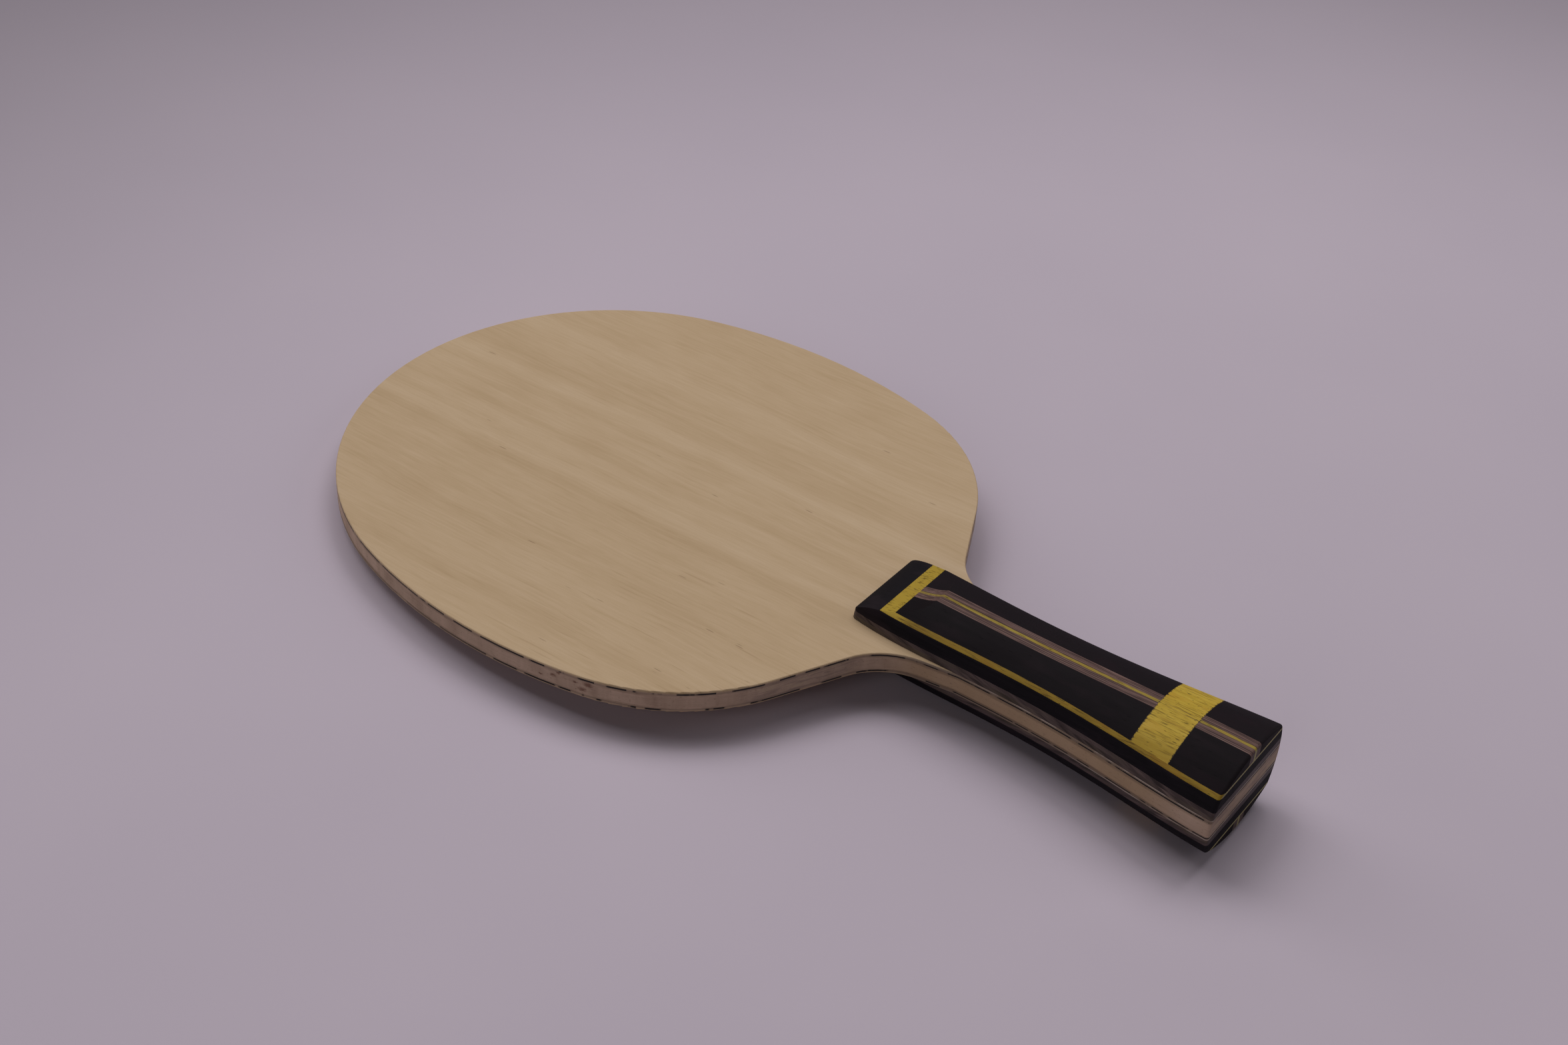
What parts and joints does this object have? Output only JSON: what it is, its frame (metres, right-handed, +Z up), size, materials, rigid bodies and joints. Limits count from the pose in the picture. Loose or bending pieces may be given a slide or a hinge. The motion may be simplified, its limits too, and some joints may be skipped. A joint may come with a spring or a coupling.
{
  "type": "table tennis paddle",
  "caption": "Bare table tennis paddle: a round laminated wooden head with a fibre layer under each face, and a flared handle of inlaid scales glued to both sides.",
  "frame": {"origin": "bottom centre of the bounding box, on the table that the paddle lies on", "axes": "+X along the handle towards the butt, so the head's tip points to -X; +Y across the head; +Z up off the table. The paddle lies on its backhand side, on the tip of the head and the belly of the butt, so the blade's plane leans 2.06 degrees about Y, with its handle end raised"},
  "size_m": [0.2573, 0.1502, 0.0261],
  "materials": {
    "face_wood": "pale straight-grained veneer, sanded, unvarnished",
    "middle_wood": "pale softwood veneer seen edge on",
    "core_wood": "soft open-pored wood seen edge on, sanded",
    "fibre": "black woven fibre in resin, seen edge on as a dashed line",
    "walnut": "dark grey-brown veneer, satin",
    "black_wood": "black dyed wood, satin",
    "yellow_wood": "golden yellow dyed wood, satin",
    "stripe_wood": "lilac-brown wood laminated from thin strips, satin"
  },
  "bodies": {
    "root": {"backhand_cross_band": "yellow_wood", "backhand_face_ply": "face_wood", "backhand_fibre_ply": "fibre", "backhand_front_left_panel": "black_wood", "backhand_front_left_stripe": "stripe_wood", "backhand_front_right_panel": "black_wood", "backhand_front_right_stripe": "stripe_wood", "backhand_front_stripe_line": "yellow_wood", "backhand_inner_base_veneer": "walnut", "backhand_middle_ply": "middle_wood", "backhand_outer_base_veneer": "walnut", "backhand_rear_left_panel": "black_wood", "backhand_rear_left_stripe": "stripe_wood", "backhand_rear_right_panel": "black_wood", "backhand_rear_right_stripe": "stripe_wood", "backhand_rear_stripe_line": "yellow_wood", "backhand_spacer": "black_wood", "backhand_yellow_veneer": "yellow_wood", "blade_core": "core_wood", "forehand_cross_band": "yellow_wood", "forehand_face_ply": "face_wood", "forehand_fibre_ply": "fibre", "forehand_front_left_panel": "black_wood", "forehand_front_left_stripe": "stripe_wood", "forehand_front_right_panel": "black_wood", "forehand_front_right_stripe": "stripe_wood", "forehand_front_stripe_line": "yellow_wood", "forehand_inner_base_veneer": "walnut", "forehand_middle_ply": "middle_wood", "forehand_outer_base_veneer": "walnut", "forehand_rear_left_panel": "black_wood", "forehand_rear_left_stripe": "stripe_wood", "forehand_rear_right_panel": "black_wood", "forehand_rear_right_stripe": "stripe_wood", "forehand_rear_stripe_line": "yellow_wood", "forehand_spacer": "black_wood", "forehand_yellow_veneer": "yellow_wood"}
  },
  "joints": []
}
